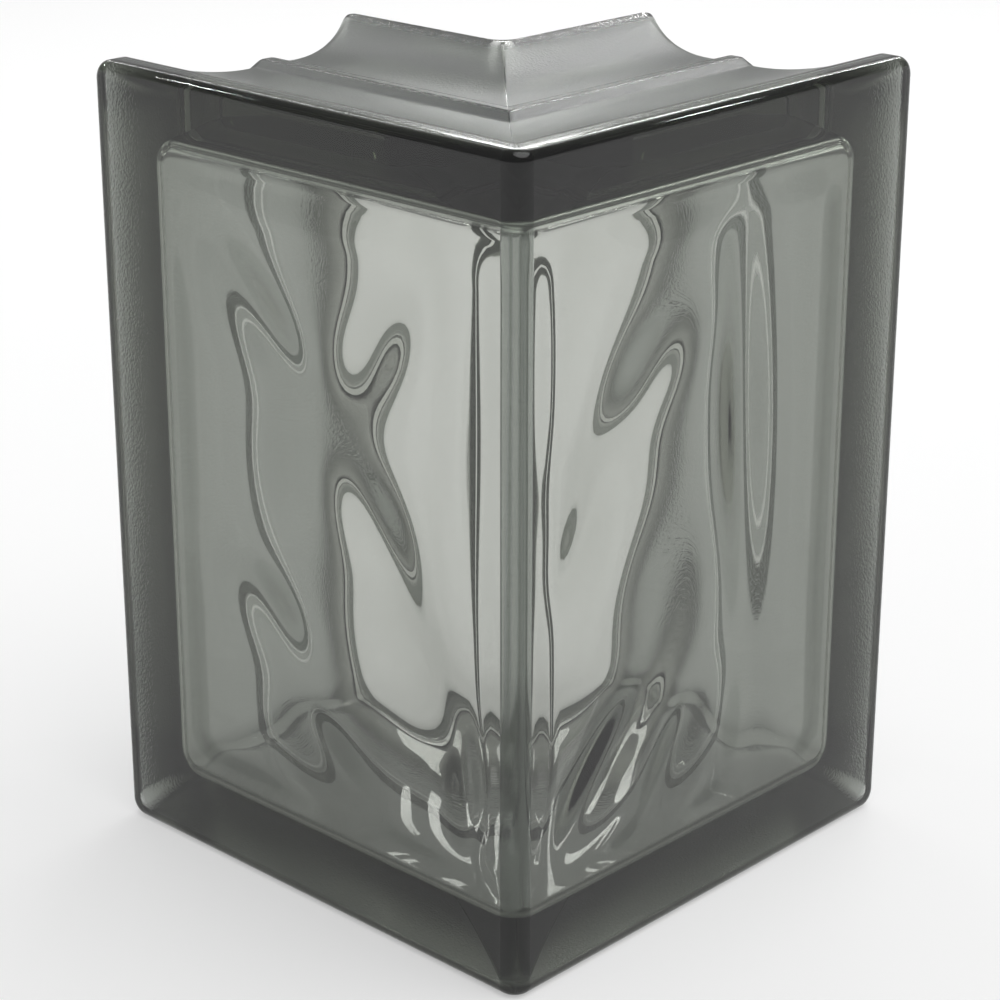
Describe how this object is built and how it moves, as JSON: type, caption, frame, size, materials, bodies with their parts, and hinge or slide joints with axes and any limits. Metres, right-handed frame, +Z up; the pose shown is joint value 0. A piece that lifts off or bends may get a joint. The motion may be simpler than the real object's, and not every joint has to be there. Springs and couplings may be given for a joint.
{
  "type": "corner glass block",
  "caption": "Hollow 90 degree corner block of grey-green glass with wavy faces, for turning the corner of a glass-block wall.",
  "frame": {"origin": "on the floor, at the middle of the square footprint", "axes": "+Z up along the long edges; the two large faces look along -X and -Y, and the legs run from their common edge along +X and +Y"},
  "size_m": [0.132, 0.132, 0.19],
  "materials": {
    "glass": "clear grey-green glass, fire-polished faces, satin edges"
  },
  "bodies": {
    "root": {"outer_half": "glass", "inner_half": "glass"}
  },
  "joints": []
}
